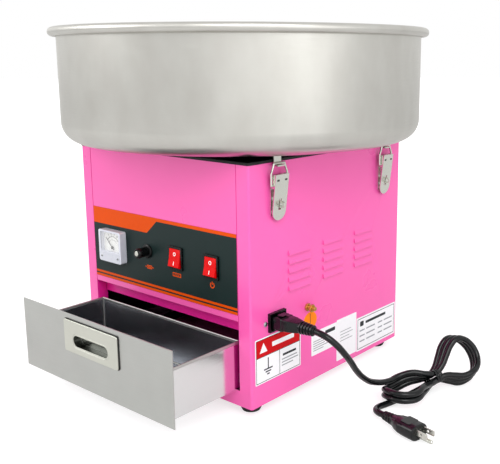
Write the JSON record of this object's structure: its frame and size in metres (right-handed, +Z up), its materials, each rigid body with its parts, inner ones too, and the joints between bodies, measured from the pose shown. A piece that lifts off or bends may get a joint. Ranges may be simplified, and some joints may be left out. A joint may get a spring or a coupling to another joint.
{
  "type": "cotton candy machine",
  "caption": "Countertop cotton candy machine: a square painted cabinet with a storage drawer and a control panel, and a wide steel bowl around a spinning heated head.",
  "frame": {"origin": "on the floor under the spin axis", "axes": "+Z up, -Y out of the control panel and the drawer, +X to the side with the mains inlet"},
  "size_m": [0.6281, 0.5365, 0.4758],
  "materials": {
    "pink_paint": "gloss",
    "black_deck": "satin",
    "stainless": "brushed",
    "drawer_steel": "brushed",
    "nickel": "polished",
    "zinc": "satin",
    "brass": "satin",
    "rubber": "matte",
    "overlay": "satin",
    "black_plastic": "gloss",
    "red_plastic": "gloss",
    "white_plastic": "matte",
    "clear": "clear",
    "motor_paint": "satin",
    "brown_board": "matte",
    "cord_pvc": "gloss"
  },
  "bodies": {
    "cabinet": {"base_pan": "pink_paint", "right_side_panel": "pink_paint", "left_side_panel": "pink_paint", "front_panel": "pink_paint", "rear_panel": "pink_paint", "top_deck": "black_deck", "edge_trim": "rubber", "bowl_gasket": "rubber", "bowl": "stainless", "bowl_keepers": "nickel", "latch_bases": "nickel", "latch_pins": "nickel", "rubber_feet": "rubber", "cabinet_screws": "zinc", "drawer_guides": "zinc", "panel_overlay": "overlay", "meter_case": "clear", "meter_dial": "white_plastic", "meter_window": "clear", "fuse_holder": "black_plastic", "fuse_nut": "zinc", "heat_switch": "black_plastic", "power_switch": "black_plastic", "inlet_socket": "black_plastic", "earth_stud": "brass", "earth_nuts": "brass", "motor_housing": "motor_paint", "motor_mounts": "rubber", "motor_bearings": "zinc", "brush_block": "brown_board", "cord_connector": "cord_pvc", "cord_lead": "cord_pvc", "cord_hank": "cord_pvc", "cord_tail": "cord_pvc", "cord_tie": "cord_pvc", "plug_body": "cord_pvc"},
    "drawer": {"drawer_front": "drawer_steel", "drawer_box": "drawer_steel", "drawer_pull": "drawer_steel", "drawer_runners": "zinc"},
    "spinner": {"motor_rotor": "zinc", "spindle": "zinc", "slip_rings": "brass", "spinner_base": "stainless", "spinner_band": "stainless", "heater_ring": "zinc", "spinner_cap": "stainless"},
    "heat_rocker_body": {"heat_rocker": "red_plastic"},
    "power_rocker_body": {"power_rocker": "red_plastic"},
    "needle": {"meter_needle": "black_plastic"},
    "fuse_carrier": {"fuse_link": "clear"},
    "fuse_knob": {"fuse_cap": "black_plastic"},
    "right_front_lever_body": {"right_front_lever": "nickel"},
    "right_front_bail_body": {"right_front_bail": "nickel"},
    "right_rear_lever_body": {"right_rear_lever": "nickel"},
    "right_rear_bail_body": {"right_rear_bail": "nickel"},
    "left_front_lever_body": {"left_front_lever": "nickel"},
    "left_front_bail_body": {"left_front_bail": "nickel"},
    "left_rear_lever_body": {"left_rear_lever": "nickel"},
    "left_rear_bail_body": {"left_rear_bail": "nickel"}
  },
  "joints": [
    {"name": "drawer_slide", "type": "slide", "parent": "cabinet", "child": "drawer", "axis": [0, -1, 0], "range_m": [-0.11, 0]},
    {"name": "head_spin", "type": "hinge", "parent": "cabinet", "child": "spinner", "pos_m": [0, 0, 0.3], "axis": [0, 0, 1], "continuous": true},
    {"name": "heat_rocker_tilt", "type": "hinge", "parent": "cabinet", "child": "heat_rocker_body", "pos_m": [0.0325, -0.1616, 0.1835], "axis": [1, 0, 0], "range_deg": [0, 20]},
    {"name": "power_rocker_tilt", "type": "hinge", "parent": "cabinet", "child": "power_rocker_body", "pos_m": [0.098, -0.1616, 0.1835], "axis": [1, 0, 0], "range_deg": [0, 20]},
    {"name": "needle_swing", "type": "hinge", "parent": "cabinet", "child": "needle", "pos_m": [-0.094, -0.165, 0.178], "axis": [0, 1, 0], "range_deg": [0, 90], "stiffness_Nm_per_rad": 0.0002, "springref_deg": -17.19},
    {"name": "fuse_draw", "type": "slide", "parent": "cabinet", "child": "fuse_carrier", "axis": [0, -1, 0], "range_m": [0, 0.045]},
    {"name": "fuse_turn", "type": "hinge", "parent": "fuse_carrier", "child": "fuse_knob", "pos_m": [-0.0245, -0.165, 0.1835], "axis": [0, -1, 0], "range_deg": [0, 60]},
    {"name": "right_front_lever_swing", "type": "hinge", "parent": "cabinet", "child": "right_front_lever_body", "pos_m": [0.168, -0.115, 0.297], "axis": [0, -1, 0], "range_deg": [0, 90]},
    {"name": "right_front_bail_swing", "type": "hinge", "parent": "right_front_lever_body", "child": "right_front_bail_body", "pos_m": [0.168, -0.115, 0.288], "axis": [0, -1, 0], "range_deg": [-90, 0]},
    {"name": "right_rear_lever_swing", "type": "hinge", "parent": "cabinet", "child": "right_rear_lever_body", "pos_m": [0.168, 0.115, 0.297], "axis": [0, -1, 0], "range_deg": [0, 90]},
    {"name": "right_rear_bail_swing", "type": "hinge", "parent": "right_rear_lever_body", "child": "right_rear_bail_body", "pos_m": [0.168, 0.115, 0.288], "axis": [0, -1, 0], "range_deg": [-90, 0]},
    {"name": "left_front_lever_swing", "type": "hinge", "parent": "cabinet", "child": "left_front_lever_body", "pos_m": [-0.168, -0.115, 0.297], "axis": [0, 1, 0], "range_deg": [0, 90]},
    {"name": "left_front_bail_swing", "type": "hinge", "parent": "left_front_lever_body", "child": "left_front_bail_body", "pos_m": [-0.168, -0.115, 0.288], "axis": [0, 1, 0], "range_deg": [-90, 0]},
    {"name": "left_rear_lever_swing", "type": "hinge", "parent": "cabinet", "child": "left_rear_lever_body", "pos_m": [-0.168, 0.115, 0.297], "axis": [0, 1, 0], "range_deg": [0, 90]},
    {"name": "left_rear_bail_swing", "type": "hinge", "parent": "left_rear_lever_body", "child": "left_rear_bail_body", "pos_m": [-0.168, 0.115, 0.288], "axis": [0, 1, 0], "range_deg": [-90, 0]}
  ],
  "couplings": [
    {"joint": "right_front_bail_swing", "follows": "right_front_lever_swing", "ratio": -1},
    {"joint": "right_rear_bail_swing", "follows": "right_rear_lever_swing", "ratio": -1},
    {"joint": "left_front_bail_swing", "follows": "left_front_lever_swing", "ratio": -1},
    {"joint": "left_rear_bail_swing", "follows": "left_rear_lever_swing", "ratio": -1}
  ]
}
